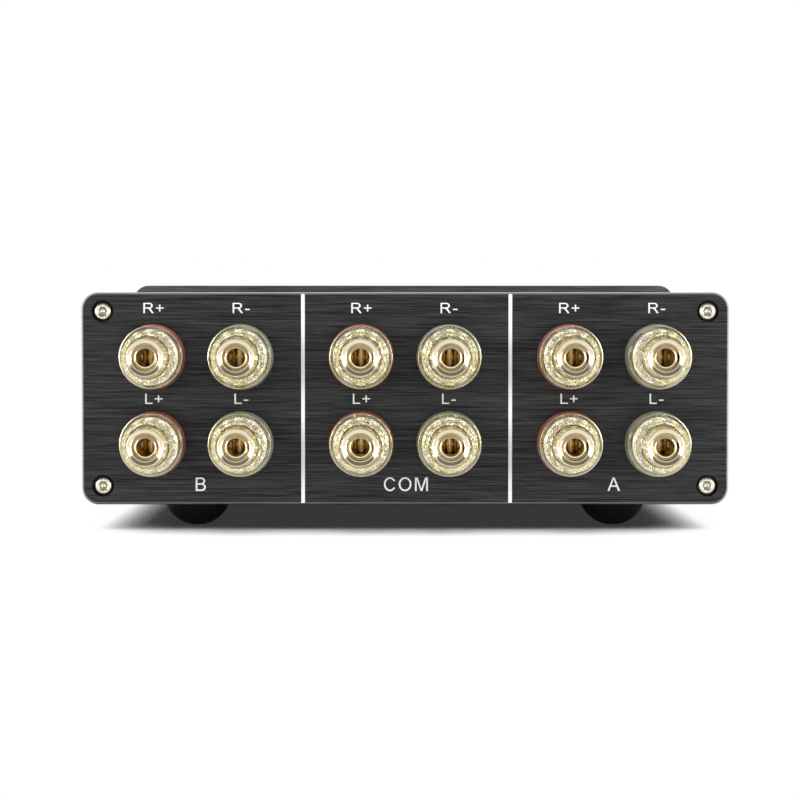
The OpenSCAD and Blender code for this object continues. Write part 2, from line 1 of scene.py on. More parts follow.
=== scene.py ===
# %% [markdown]
# # A speaker selector box, dressed for its photograph
# The solid model of the box comes packed from the CAD side: its case, twelve binding posts, the
# rotary switch and the wires. This lesson keeps those solids where they are and adds what makes
# them look real: metal with a grain, clear plastic, white lettering, light and a camera.

# %% Load the frame
import bmesh
import bpy
from math import atan2, cos, radians, sin, tau
from mathutils import Matrix, Vector


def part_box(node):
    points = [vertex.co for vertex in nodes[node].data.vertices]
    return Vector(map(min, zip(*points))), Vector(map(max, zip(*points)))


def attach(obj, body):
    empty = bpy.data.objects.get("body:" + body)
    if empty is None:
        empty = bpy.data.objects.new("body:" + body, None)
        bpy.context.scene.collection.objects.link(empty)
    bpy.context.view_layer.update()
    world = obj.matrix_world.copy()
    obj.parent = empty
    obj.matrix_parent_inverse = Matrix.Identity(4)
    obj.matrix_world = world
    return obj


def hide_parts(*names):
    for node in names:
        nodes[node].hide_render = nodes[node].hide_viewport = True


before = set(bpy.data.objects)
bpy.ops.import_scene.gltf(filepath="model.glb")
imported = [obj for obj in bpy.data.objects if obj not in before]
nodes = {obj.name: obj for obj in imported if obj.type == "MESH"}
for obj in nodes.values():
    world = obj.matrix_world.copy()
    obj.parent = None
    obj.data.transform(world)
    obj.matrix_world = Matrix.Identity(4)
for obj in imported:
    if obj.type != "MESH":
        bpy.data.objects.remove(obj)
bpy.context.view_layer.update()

# %% [markdown]
# ## Camera
# The box was photographed from behind with a long lens, a little above the middle of the panel.
# Its place and focal length were found by matching post tips, screws and corners with their
# places in the picture, so everything in the render falls where it does in the photograph.
# Blender counts in metres. The studio's sizes are written in metres, and those of the box and
# the camera's place in millimetres, multiplied by MM.

# %% Camera
MM = 0.001
CAMERA_PLACE = (2.26, 577.21, 46.26)
LOOKS_DOWN, LOOKS_ASIDE = 1.738, 0.115
SENSOR_WIDTH, FOCAL_LENGTH = 36, 100.84
NEAREST, FURTHEST = 0.05, 20

lens = bpy.data.cameras.new("camera")
lens.sensor_width = SENSOR_WIDTH
lens.lens = FOCAL_LENGTH
lens.clip_start = NEAREST
lens.clip_end = FURTHEST
camera = bpy.data.objects.new("camera", lens)
camera.location = [c * MM for c in CAMERA_PLACE]
camera.rotation_euler = (radians(90 - LOOKS_DOWN), 0, radians(180 - LOOKS_ASIDE))
bpy.context.scene.collection.objects.link(camera)
bpy.context.scene.camera = camera
print("camera", tuple(round(c, 4) for c in camera.location), "lens", lens.lens, "mm")

# %% [markdown]
# ## Node helpers
# A material is a small graph. Writing it by hand takes three lines for each node, so one helper
# makes a node, sets its properties and fills its inputs, with a number or with another node's
# output. Colours are given as they read on a screen, and turned into the linear values that the
# renderer works with. A Mix node holds a set of inputs for each kind of data, so two more helpers
# pick the sets for numbers and for colours.

# %% Node helpers
WHITE = (1, 1, 1, 1)


def add(tree, kind, inputs=None, **settings):
    made = tree.nodes.new("ShaderNode" + kind)
    for key, value in settings.items():
        setattr(made, key, value)
    for key, value in (inputs or {}).items():
        if isinstance(value, bpy.types.NodeSocket):
            tree.links.new(value, made.inputs[key])
        else:
            made.inputs[key].default_value = value
    return made


def screen_colour(red, green, blue):
    linear = [((c / 255 + 0.055) / 1.055) ** 2.4 if c > 10 else c / 255 / 12.92
              for c in (red, green, blue)]
    return (*linear, 1)


def math_node(tree, operation, a, b=0.0):
    return add(tree, "Math", {0: a, 1: b}, operation=operation).outputs[0]


def mix_numbers(tree, factor, a, b):
    return add(tree, "Mix", {0: factor, 2: a, 3: b}).outputs[0]


def mix_colours(tree, factor, a, b):
    return add(tree, "Mix", {0: factor, 6: a, 7: b}, data_type="RGBA").outputs[2]


def mapped(tree, value, low, high, to_low, to_high):
    ranged = add(tree, "MapRange", {"Value": value, "From Min": low, "From Max": high,
                                    "To Min": to_low, "To Max": to_high})
    return ranged.outputs["Result"]


print("a mid grey of 128 is", round(screen_colour(128, 128, 128)[0], 4), "in linear light")

# %% [markdown]
# ## Background
# The photograph's ground is pure white. The world is white where the camera, a mirror or clear
# plastic looks at it, and only a moderate grey where it lights the box, so the dark metal keeps
# its contrast. Over and behind the camera the studio is dim, which gives polished metal something
# to draw its dark bands from: the gold is bright where it faces the white floor and brown where
# it faces that ceiling. A direction has a length of 1, so its Z runs from 0 at the horizon to 1
# overhead, and its Y from -1 beyond the box to 1 behind the camera. Light that is caught between
# a gold insert and its clear shell is mirrored many times before it gets out, so the renderer may
# follow it for longer than usual.

# %% World
ROOM_LIGHT = 0.42
CEILING_RISE, CEILING_REACH, CEILING_DIMNESS = (0.05, 0.45), (-0.4, 0.1), 0.8
BACK_REACH, BACK_DIMNESS = (0.3, 0.9), 0.6
DOME_RISE, DOME_THROUGH_PLASTIC = (0.1, 0.8), 0.5
BOUNCES, MIRRORED_BOUNCES = 32, 24


def build_world():
    world = bpy.data.worlds.new("studio")
    world.use_nodes = True
    tree = world.node_tree
    tree.nodes.clear()
    direction = add(tree, "SeparateXYZ", {0: add(tree, "TexCoord").outputs["Generated"]})
    up, towards_camera = direction.outputs["Z"], direction.outputs["Y"]
    overhead = mapped(tree, up, *CEILING_RISE, 0.0, CEILING_DIMNESS)
    in_front = mapped(tree, towards_camera, *CEILING_REACH, 0.0, 1.0)
    ceiling = math_node(tree, "MULTIPLY", overhead, in_front)
    behind_camera = mapped(tree, towards_camera, *BACK_REACH, 0.0, BACK_DIMNESS)
    dimness = math_node(tree, "MAXIMUM", ceiling, behind_camera)
    mirrored = math_node(tree, "SUBTRACT", 1.0, dimness)
    through = mapped(tree, up, *DOME_RISE, 1.0, DOME_THROUGH_PLASTIC)
    path = add(tree, "LightPath")
    strength = mix_numbers(tree, path.outputs["Is Glossy Ray"], ROOM_LIGHT, mirrored)
    strength = mix_numbers(tree, path.outputs["Is Transmission Ray"], strength, through)
    strength = mix_numbers(tree, path.outputs["Is Camera Ray"], strength, 1.0)
    light = add(tree, "Background", {"Color": WHITE, "Strength": strength})
    out = add(tree, "OutputWorld")
    tree.links.new(light.outputs[0], out.inputs["Surface"])
    return world


bpy.context.scene.world = build_world()
bpy.context.scene.view_settings.view_transform = "Standard"
paths = bpy.context.scene.cycles
paths.max_bounces = BOUNCES
paths.glossy_bounces = MIRRORED_BOUNCES
paths.transmission_bounces = MIRRORED_BOUNCES
print("world", bpy.context.scene.world.name, "with", BOUNCES, "bounces of light")

# %% [markdown]
# ## Floor
# The box stands on a white sheet that has no end. To the light it is plain white paper. To the
# camera and to mirrors it is pure white, except where the box stands close above it: there a
# shadow is painted into its colour. Ambient occlusion measures that closeness, and a narrow range
# of it makes the dark painted shadow under the panel, with a soft edge. Clear plastic sees the
# sheet without its painted shadow, so that the caps stay light.

# %% Floor
FLOOR_REACH = 6
SHADOW_REACH = 0.06
SHADOW_FULL, SHADOW_NONE = 0.13, 0.45
PAPER = (0.8, 0.8, 0.8, 1)
PAINTED_SHADOW = screen_colour(56, 54, 55)


def white_paper_painted_shadow():
    material = bpy.data.materials.new("white_paper_painted_shadow")
    material.use_nodes = True
    tree = material.node_tree
    tree.nodes.clear()
    path = add(tree, "LightPath")
    openness = add(tree, "AmbientOcclusion", {"Distance": SHADOW_REACH}, samples=16)
    clear = mapped(tree, openness.outputs["AO"], SHADOW_FULL, SHADOW_NONE, 0.0, 1.0)
    # Painted shadow: the shown colour goes dark where the box stands close above the sheet.
    tone = mix_colours(tree, clear, PAINTED_SHADOW, WHITE)
    tone = mix_colours(tree, path.outputs["Is Transmission Ray"], tone, WHITE)
    seen = math_node(tree, "MAXIMUM", path.outputs["Is Camera Ray"],
                     path.outputs["Is Glossy Ray"])
    seen = math_node(tree, "MAXIMUM", seen, path.outputs["Is Transmission Ray"])
    paper = add(tree, "BsdfDiffuse", {"Color": PAPER})
    shown = add(tree, "Emission", {"Color": tone, "Strength": 1.0})
    both = add(tree, "MixShader", {0: seen, 1: paper.outputs[0], 2: shown.outputs[0]})
    out = add(tree, "OutputMaterial")
    tree.links.new(both.outputs[0], out.inputs["Surface"])
    return material


def build_floor():
    mesh = bpy.data.meshes.new("floor")
    bm = bmesh.new()
    bmesh.ops.create_grid(bm, x_segments=1, y_segments=1, size=FLOOR_REACH)
    bm.to_mesh(mesh)
    bm.free()
    mesh.materials.append(white_paper_painted_shadow())
    floor = bpy.data.objects.new("floor", mesh)
    bpy.context.scene.collection.objects.link(floor)
    return floor


print("floor", build_floor().dimensions[0], "m wide")

# %% [markdown]
# ## Lamps
# One large soft box hangs over the set, and a long low one stands on each side of the camera. The
# side ones graze the panel, so its brushed grain grows lighter towards the left and right edges,
# as it does in the picture. They stand low, so a funnel mirrors them beside the white floor and
# stays brown below. The upper one lights but isn't mirrored: the gold shows a dim ceiling.

# %% Lamps
BOX_MIDDLE = (0, 0, 0.03)
SIDE_BOX = (0.6, 0.36)


def soft_box(name, place, size, power, mirrored=True):
    data = bpy.data.lights.new(name, "AREA")
    data.shape = "RECTANGLE"
    data.size, data.size_y = size
    data.energy = power
    lamp = bpy.data.objects.new(name, data)
    lamp.location = place
    away = Vector(place) - Vector(BOX_MIDDLE)
    lamp.rotation_euler = away.to_track_quat("Z", "Y").to_euler()
    lamp.visible_glossy = mirrored
    bpy.context.scene.collection.objects.link(lamp)
    return lamp


lamps = [
    soft_box("lamp_above", (0, 0.3, 0.7), (0.5, 0.35), power=3.0, mirrored=False),
    soft_box("lamp_left", (0.65, 0.7, 0.12), SIDE_BOX, power=3.3),
    soft_box("lamp_right", (-0.65, 0.7, 0.12), SIDE_BOX, power=3.7),
]
print([(lamp.name, round(lamp.data.energy, 2)) for lamp in lamps])

# %% [markdown]
# ## Shared effects
# Several finishes share an effect. Streaks are noise that is squeezed along one direction, which
# is what brushing, turning and extruding leave on metal. Handling is slow, large noise for faint
# smudges and fine noise for specks of dust, which keep a surface from looking computed. Each is
# one node group, placed in a material with its own values.

# %% Effect groups
DUST_FINENESS = 60.0
SMUDGES, SPECKS = (0.35, 0.65), (0.68, 0.78)


def new_group(name, inputs, outputs):
    group = bpy.data.node_groups.new(name, "ShaderNodeTree")
    for label, kind, value in inputs:
        socket = group.interface.new_socket(label, in_out="INPUT", socket_type=kind)
        if value is not None:
            socket.default_value = value
    for label in outputs:
        group.interface.new_socket(label, in_out="OUTPUT", socket_type="NodeSocketFloat")
    return group, group.nodes.new("NodeGroupInput"), group.nodes.new("NodeGroupOutput")


def build_streaks():
    group, given, result = new_group(
        "tool_streaks",
        [("Vector", "NodeSocketVector", None), ("Stretch", "NodeSocketVector", (1, 1, 1)),
         ("Contrast", "NodeSocketFloat", 0.2)],
        ["Streaks"],
    )
    stretched = add(group, "VectorMath", {0: given.outputs["Vector"],
                                          1: given.outputs["Stretch"]}, operation="MULTIPLY")
    fine = add(group, "TexNoise", {"Vector": stretched.outputs[0], "Scale": 1.0,
                                   "Detail": 5.0, "Roughness": 0.65})
    low = math_node(group, "SUBTRACT", 0.5, given.outputs["Contrast"])
    high = math_node(group, "ADD", 0.5, given.outputs["Contrast"])
    ranged = mapped(group, fine.outputs["Fac"], low, high, 0.0, 1.0)
    group.links.new(ranged, result.inputs["Streaks"])
    return group


def build_handling():
    group, given, result = new_group(
        "handling",
        [("Vector", "NodeSocketVector", None), ("Scale", "NodeSocketFloat", 30.0)],
        ["Smudge", "Dust"],
    )
    slow = add(group, "TexNoise", {"Vector": given.outputs["Vector"],
                                   "Scale": given.outputs["Scale"], "Detail": 3.0})
    group.links.new(mapped(group, slow.outputs["Fac"], *SMUDGES, 0.0, 1.0),
                    result.inputs["Smudge"])
    grains = math_node(group, "MULTIPLY", given.outputs["Scale"], DUST_FINENESS)
    speck = add(group, "TexNoise", {"Vector": given.outputs["Vector"], "Scale": grains,
                                    "Detail": 2.0})
    group.links.new(mapped(group, speck.outputs["Fac"], *SPECKS, 0.0, 1.0),
                    result.inputs["Dust"])
    return group


STREAKS = build_streaks()
HANDLING = build_handling()
print("groups:", [g.name for g in bpy.data.node_groups])

# %% [markdown]
# Every finish starts in the same way: a material with one shader, and a place on the object that
# its patterns follow. A small class holds the two together, so that a finish below reads as a
# list of what is done to the surface. A mask is a value from 0 to 1, and most of them are used
# to go from one colour, roughness or amount to another.

# %% Finishes
class Finish:
    """A material in the making: its tree, its shader and the place on the object."""

    def __init__(self, name, **sockets):
        self.material = bpy.data.materials.new(name)
        self.material.use_nodes = True
        self.tree = self.material.node_tree
        self.shader = self.tree.nodes["Principled BSDF"]
        self.place = add(self.tree, "TexCoord").outputs["Object"]
        for label, value in sockets.items():
            self.set(label.replace("_", " "), value)

    def set(self, label, value):
        if isinstance(value, bpy.types.NodeSocket):
            self.tree.links.new(value, self.shader.inputs[label])
        else:
            self.shader.inputs[label].default_value = value

    def streaks(self, stretch, contrast):
        used = add(self.tree, "Group", {"Vector": self.place, "Stretch": stretch,
                                        "Contrast": contrast}, node_tree=STREAKS)
        return used.outputs["Streaks"]

    def handling(self, scale):
        """Two masks, which are read by their names, Smudge and Dust."""
        used = add(self.tree, "Group", {"Vector": self.place, "Scale": scale},
                   node_tree=HANDLING)
        return used.outputs

    def noise(self, scale, detail):
        made = add(self.tree, "TexNoise", {"Vector": self.place, "Scale": scale,
                                           "Detail": detail})
        return made.outputs["Fac"]

    def mix(self, mask, a, b):
        return mix_colours(self.tree, mask, a, b)

    def between(self, mask, at_0, at_1):
        return mapped(self.tree, mask, 0, 1, at_0, at_1)

    def math(self, operation, a, b=0.0):
        return math_node(self.tree, operation, a, b)

    def bump(self, height, relief, strength):
        """Relief is the surface's depth in millimetres."""
        raised = add(self.tree, "Bump", {"Height": height, "Distance": relief * MM,
                                         "Strength": strength})
        self.set("Normal", raised.outputs["Normal"])


def dress(finish, *names):
    """Puts one finish on every CAD node whose name is given, or starts with it."""
    count = 0
    for name, node in nodes.items():
        if name.startswith(names):
            node.material_slots[0].material = finish.material
            count += 1
    print(finish.material.name, "on", count, "nodes")


print("groups ready for use:", STREAKS.name, "and", HANDLING.name)

# %% [markdown]
# ## Brushed black panels
# Both end panels are thick aluminium plate, brushed from side to side and then dyed black. The
# dye is in the metal's own skin, so it still glints like metal. Long thin streaks change the
# colour, the gloss and, by a few hundredths of a millimetre, the surface itself. The chamfer round
# each panel is cut after the dyeing and shows bare metal, except along the bottom, where it keeps
# the dark dyed tone as painted shade. The chamfer is found by the way that the surface faces: not
# straight out, as a face does, and not straight to the side either.

# %% Brushed panels
BARE_METAL = screen_colour(205, 206, 207)
PALE_DUST = screen_colour(120, 120, 118)
ON_FACE, OFF_FACE = 0.985, 0.97
ON_SIDE, OFF_SIDE = 0.05, 0.15
PAINTED_SHADE_FULL, PAINTED_SHADE_NONE = -0.6, -0.2


def bare_edge_painted_shade_below(finish):
    facing = add(finish.tree, "SeparateXYZ", {0: add(finish.tree, "TexCoord").outputs["Normal"]})
    outward = finish.math("ABSOLUTE", facing.outputs["Y"])
    off_face = mapped(finish.tree, outward, ON_FACE, OFF_FACE, 0, 1)
    off_side = mapped(finish.tree, outward, ON_SIDE, OFF_SIDE, 0, 1)
    # Painted shade: a chamfer that faces down keeps the dark dye, not bare metal.
    outside_painted_shade = mapped(finish.tree, facing.outputs["Z"], PAINTED_SHADE_FULL, PAINTED_SHADE_NONE, 0, 1)
    return finish.math("MULTIPLY", finish.math("MULTIPLY", off_face, off_side), outside_painted_shade)


def brushed_panel(name, dark, light):
    finish = Finish(name)
    grain = finish.streaks(stretch=(90, 900, 3800), contrast=0.15)
    broad = finish.streaks(stretch=(30, 300, 900), contrast=0.22)
    dust = finish.handling(scale=35)["Dust"]
    bare_except_painted_shade = bare_edge_painted_shade_below(finish)
    tone = finish.mix(grain, dark, light)
    tone = finish.mix(finish.between(broad, 0, 0.45), tone, dark)
    tone = finish.mix(finish.between(dust, 0, 0.2), tone, PALE_DUST)
    finish.set("Base Color", finish.mix(bare_except_painted_shade, tone, BARE_METAL))
    finish.set("Metallic", finish.between(bare_except_painted_shade, 0.55, 0.9))
    finish.set("Roughness", mix_numbers(finish.tree, bare_except_painted_shade, finish.between(grain, 0.46, 0.34), 0.3))
    finish.bump(grain, relief=0.04, strength=0.8)
    return finish


dress(brushed_panel("brushed_black", screen_colour(10, 10, 12), screen_colour(76, 76, 77)),
      "rear_panel")
# The front panel gets a lighter copy of the same finish: painted light, for the extra light that
# falls on it from above.
dress(brushed_panel("brushed_black_front_painted_light", screen_colour(58, 58, 60),
                    screen_colour(124, 124, 127)), "front_panel")

# %% [markdown]
# The two half shells are extruded. The die leaves faint lines along the length of the case, not
# across it, and the dyed surface is a little more matt than the brushed panels.

# %% Extruded case
MATT_DUST = screen_colour(110, 110, 108)


def extruded_case():
    finish = Finish("extruded_black", Metallic=0.5)
    lines = finish.streaks(stretch=(2200, 40, 2200), contrast=0.25)
    use = finish.handling(scale=25)
    tone = finish.mix(lines, screen_colour(40, 40, 42), screen_colour(58, 58, 60))
    finish.set("Base Color", finish.mix(finish.between(use["Dust"], 0, 0.25), tone, MATT_DUST))
    finish.set("Roughness", finish.between(use["Smudge"], 0.42, 0.5))
    finish.bump(lines, relief=0.02, strength=0.4)
    return finish


dress(extruded_case(), "case_top", "case_bottom")

# %% [markdown]
# The knob is turned from the same metal. Its face carries the fine rings of the lathe, which are
# circles round the shaft: a wave texture in rings, moved so that it is centred on the knob. The
# word knob also begins the name of the knob's screw, which gets its own finish further on.

# %% Turned knob
RINGS_SCALE = 900.0


def turned_knob():
    finish = Finish("turned_black", Metallic=0.55)
    low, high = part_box("knob")
    axis = (low + high) / 2
    centred = add(finish.tree, "Mapping", {"Vector": finish.place, "Location": -axis})
    rings = add(finish.tree, "TexWave", {"Vector": centred.outputs[0], "Scale": RINGS_SCALE,
                                         "Distortion": 2.0, "Detail": 2.0},
                wave_type="RINGS", rings_direction="Y").outputs["Fac"]
    use = finish.handling(scale=60)
    tone = finish.mix(rings, screen_colour(40, 40, 42), screen_colour(56, 56, 58))
    finish.set("Base Color", finish.mix(finish.between(use["Dust"], 0, 0.2), tone, MATT_DUST))
    finish.set("Roughness", finish.between(use["Smudge"], 0.3, 0.4))
    finish.bump(rings, relief=0.01, strength=0.5)
    return finish


dress(turned_knob(), "knob")

# %% [markdown]
# ## Gold
# The posts are turned brass under a thin gold plate, polished but not perfect. Lathe marks run
# round each post whatever its place, so noise that changes only along the post's length serves
# all twelve at once. Polishing by hand leaves soft dents under the plate, which make the
# reflections wander. The plate is pale, between brass and champagne.

# %% Gold plate
DENTS_TO_MARKS = 5.0


def gold_plate():
    finish = Finish("gold_plate", Metallic=1.0)
    marks = finish.streaks(stretch=(60, 9000, 60), contrast=0.25)
    smudge = finish.handling(scale=120)["Smudge"]
    tone = finish.mix(smudge, screen_colour(236, 225, 194), screen_colour(242, 233, 208))
    tone = finish.mix(finish.between(marks, 0, 0.25), tone, screen_colour(214, 196, 154))
    finish.set("Base Color", tone)
    finish.set("Roughness", finish.between(marks, 0.08, 0.16))
    dents = finish.math("MULTIPLY", finish.noise(scale=700, detail=2.0), DENTS_TO_MARKS)
    finish.bump(finish.math("ADD", marks, dents), relief=0.01, strength=0.7)
    return finish


gold = gold_plate()
dress(gold, "post_nuts")

# %% [markdown]
# The inside of a socket is another matter. The plating bath hardly reaches the bottom of a deep
# narrow hole, so the wall there is thin gold over drilled brass: browner and rougher. It is also
# darker, partly from the brass and partly as painted shade for the shade deep in the hole.

# %% Drilled brass
def drilled_brass_painted_shade():
    finish = Finish("drilled_brass_painted_shade", Metallic=1.0)
    marks = finish.streaks(stretch=(400, 7000, 400), contrast=0.25)
    tone = finish.mix(marks, screen_colour(212, 192, 148), screen_colour(186, 164, 118))
    finish.set("Base Color", tone)
    finish.set("Roughness", finish.between(marks, 0.12, 0.22))
    finish.bump(marks, relief=0.02, strength=0.5)
    return finish


brass = drilled_brass_painted_shade()
print("ready:", gold.material.name, "and", brass.material.name)

# %% [markdown]
# ## Turned posts
# A post has three gold parts: the core, the insert of its cap and the clamp ring between them. The
# first two are made once, at the origin, and then copied to twelve places. The posts stand straight
# out of the rear panel, so a place is the middle of a post's insert, moved onto the panel's outer
# face.

# %% Places of the posts
FACE_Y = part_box("rear_panel")[1].y
POSTS = sorted(name.removeprefix("cap_insert_") for name in nodes
               if name.startswith("cap_insert_"))


def post_place(post):
    low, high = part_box("cap_insert_" + post)
    middle = (low + high) / 2
    return Matrix.Translation((middle.x, FACE_Y, middle.z))


print(len(POSTS), "posts:", ", ".join(POSTS))

# %% [markdown]
# Both come off a lathe, so they are made in the same way: half a section is drawn and spun once
# round. A section is a list of points, each with a radius and a height above the panel in
# millimetres, and an arc where the tool rounds an edge. Smooth shading with sharp edges kept at
# the steeper corners gives the clean look of cut metal.

# %% Lathe
WELD = 0.001 * MM
SHARP_ANGLE = 35


def bow(cx, cy, rx, ry, start, end, steps=10):
    """Points along an ellipse, from one angle to another in degrees."""
    angles = [radians(start + (end - start) * i / steps) for i in range(steps + 1)]
    return [(cx + rx * cos(a), cy + ry * sin(a)) for a in angles]


def arc(cx, cy, radius, start, end):
    return bow(cx, cy, radius, radius, start, end, steps=5)


def turned(section, steps, closed=True):
    """Spins a section round the Y axis."""
    bm = bmesh.new()
    verts = [bm.verts.new((r * MM, y * MM, 0)) for r, y in section]
    edges = [bm.edges.new(pair) for pair in zip(verts, verts[1:])]
    if closed:
        edges.append(bm.edges.new((verts[-1], verts[0])))
    bmesh.ops.spin(bm, geom=verts + edges, cent=(0, 0, 0), axis=(0, 1, 0), dvec=(0, 0, 0),
                   angle=tau, steps=steps, use_merge=True, use_duplicate=False)
    bmesh.ops.remove_doubles(bm, verts=bm.verts, dist=WELD)
    bmesh.ops.recalc_face_normals(bm, faces=bm.faces)
    return bm


def metal_mesh(name, bm, *finishes, crease=SHARP_ANGLE):
    mesh = bpy.data.meshes.new(name)
    bm.to_mesh(mesh)
    bm.free()
    mesh.shade_smooth()
    mesh.set_sharp_from_angle(angle=radians(crease))
    for finish in finishes:
        mesh.materials.append(finish.material)
    return mesh


def put(name, mesh, body):
    piece = bpy.data.objects.new(name, mesh)
    bpy.context.scene.collection.objects.link(piece)
    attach(piece, body)
    return piece


def show_instead(name, mesh, body, node):
    """Shows a mesh in the place of a CAD node, which it hides, on the body that is given."""
    piece = put(name, mesh, body)
    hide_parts(node)


print("an arc of a quarter circle has", len(arc(0, 0, 1, 0, 90)), "points")

# %% [markdown]
# An insert is the gold core of a cap: a knurled flange that the clear shell grips, a long tube,
# and a mouth that guides the plug in. The mouth is a shallow cone, bright where it faces the
# floor and brown where it faces the ceiling, with a fine bead at its inner edge. Behind, a wider
# bore takes the lip on which the cap turns.

# %% Section of an insert
KNURLS, KNURL_DEPTH = 60, 0.2
KNURL_R, TUBE_R, BORE_R, NECK_R, LIP_R = 6.3, 4.25, 3.05, 4.06, 4.36
BACK_Y, LIP_BACK_Y, LIP_FRONT_Y, KNURL_END_Y, MOUTH_Y = 5.2, 6.45, 7.15, 7.6, 19.0
EDGE, RIM_ROUND, BEAD_ROUND = 0.2, 0.14, 0.09
CONE_WIDE, CONE_NARROW, BEAD = (4.01, 18.97), (3.3, 18.62), (3.15, 18.6)
INSERT = [
    (NECK_R, BACK_Y), (KNURL_R - EDGE, BACK_Y), (KNURL_R, BACK_Y + EDGE),
    (KNURL_R, KNURL_END_Y), (TUBE_R, KNURL_END_Y),
    *arc(TUBE_R - RIM_ROUND, MOUTH_Y - RIM_ROUND, RIM_ROUND, 0, 90), CONE_WIDE, CONE_NARROW,
    *arc(*BEAD, BEAD_ROUND, 40, 180), (BORE_R, LIP_FRONT_Y), (LIP_R, LIP_FRONT_Y),
    (LIP_R, LIP_BACK_Y), (NECK_R, LIP_BACK_Y),
]
print(len(INSERT), "points in the section,", MOUTH_Y - BACK_Y, "mm long")

# %% [markdown]
# The section is spun in twice as many steps as the knurl has teeth. Every second row of points on
# the flange is then pushed inwards, which leaves a tooth on each of the others.

# %% Cap inserts
def insert_mesh():
    steps = 2 * KNURLS
    bm = turned(INSERT, steps)
    for vert in bm.verts:
        radius = Vector((vert.co.x, vert.co.z)).length
        row = round(atan2(vert.co.z, vert.co.x) / tau * steps)
        if radius > (KNURL_R - EDGE) * MM - WELD and row % 2:
            shrink = 1 - KNURL_DEPTH * MM / radius
            vert.co.x *= shrink
            vert.co.z *= shrink
    return metal_mesh("cap_gold", bm, gold)


insert = insert_mesh()
for post in POSTS:
    own = insert.copy()
    own.transform(post_place(post))
    show_instead("cap_gold_" + post, own, "cap_" + post, "cap_insert_" + post)
print("insert", len(insert.polygons), "faces")

# %% [markdown]
# The clamp ring lies right behind the clear rim of its cap and is nearly as wide. It is a stamped
# and plated washer, a little duller than the turned parts, and it works as the mirror that fills
# the rim with light. The solid model's ring stays inside the insert's width, so a copy of it gets
# a wider edge here. A CAD mesh is loose triangles, so the copy is merged first.

# %% Clamp rings
RIM_FROM, RIM_WIDER = 5.9, 0.7


def stamped_plate():
    finish = Finish("stamped_plate", Metallic=1.0)
    use = finish.handling(scale=200)
    tone = finish.mix(use["Smudge"], screen_colour(208, 199, 168), screen_colour(222, 214, 186))
    finish.set("Base Color", finish.mix(use["Dust"], tone, screen_colour(176, 160, 120)))
    finish.set("Roughness", finish.between(use["Smudge"], 0.18, 0.28))
    finish.bump(finish.noise(scale=900, detail=2.0), relief=0.02, strength=0.6)
    return finish


def wide_ring(post, plate):
    axis = post_place(post).translation
    bm = bmesh.new()
    bm.from_mesh(nodes["clamp_ring_" + post].data)
    bmesh.ops.remove_doubles(bm, verts=bm.verts, dist=WELD)
    for vert in bm.verts:
        away = Vector((vert.co.x - axis.x, 0, vert.co.z - axis.z))
        if away.length > RIM_FROM * MM:
            vert.co += away.normalized() * RIM_WIDER * MM
    bmesh.ops.recalc_face_normals(bm, faces=bm.faces)
    return metal_mesh("clamp_plate_" + post, bm, plate)


plate = stamped_plate()
for post in POSTS:
    show_instead("clamp_plate_" + post, wide_ring(post, plate), "clamp_" + post,
                 "clamp_ring_" + post)
print(len(POSTS), "clamp rings widened by", RIM_WIDER, "mm all round")

# %% [markdown]
# A core is one solid bar. Its section runs from the stud behind the panel, over the flange and
# the thread, to a tip that is turned down to a little less than the thread's root and rounded
# over, and then down the wall of the socket. The rounding shows as a bright crescent under each
# socket. The thread is drawn as grooves one pitch apart, which look the same as a fine helix.

# %% Section of a core
CREST_R, ROOT_R, TIP_R, FLANGE_R, STUD_R, SOCKET_R = 3.0, 2.62, 2.6, 5.4, 2.5, 2.05
STUD_END_Y, FLANGE_BACK_Y, FLANGE_FRONT_Y, HOLE_Y, TIP_Y = -13.5, 3.0, 4.0, 6.0, 18.2
STUD_EDGE, TIP_ROUND, SOCKET_EDGE, TIP_LENGTH = 0.4, 0.4, 0.06, 0.6
THREAD_FROM, THREADS, PITCH = 4.2, 13, 1.0
FLANK, ROOT_WIDTH, GROOVE_WIDTH = 0.42, 0.16, 0.96


def thread():
    points = []
    for turn in range(THREADS):
        y = THREAD_FROM + turn * PITCH
        points += [(CREST_R, y), (ROOT_R, y + FLANK), (ROOT_R, y + FLANK + ROOT_WIDTH),
                   (CREST_R, y + GROOVE_WIDTH)]
    return points


CORE = [
    (0, STUD_END_Y), (STUD_R - STUD_EDGE, STUD_END_Y), (STUD_R, STUD_END_Y + STUD_EDGE),
    (STUD_R, FLANGE_BACK_Y), (FLANGE_R, FLANGE_BACK_Y), (FLANGE_R, FLANGE_FRONT_Y),
    (CREST_R, FLANGE_FRONT_Y), *thread(), (TIP_R, TIP_Y - TIP_LENGTH),
    *arc(TIP_R - TIP_ROUND, TIP_Y - TIP_ROUND, TIP_ROUND, 0, 90),
    (SOCKET_R + SOCKET_EDGE, TIP_Y), (SOCKET_R, TIP_Y - SOCKET_EDGE), (SOCKET_R, HOLE_Y),
    (0, HOLE_Y),
]
print(len(CORE), "points in the section,", TIP_Y - STUD_END_Y, "mm long")

# %% [markdown]
# Spinning gives the round parts. Two more cuts aren't round: an upright hole for bare wire
# through the core's foot, and a flat along one side, which keeps the clamp ring from turning.
# Each is made with a plain shape and a Boolean modifier, whose result becomes the mesh.

# %% Hole and flat
HOLE_R, HOLE_LENGTH = 1.9, 12
FLAT_X, FLAT_FROM, FLAT_TO, MILL_SIZE = 2.65, 4.05, 17.95, 8


def cutter(bm, name):
    mesh = bpy.data.meshes.new(name)
    bmesh.ops.recalc_face_normals(bm, faces=bm.faces)
    bm.to_mesh(mesh)
    bm.free()
    tool = bpy.data.objects.new(name, mesh)
    bpy.context.scene.collection.objects.link(tool)
    return tool


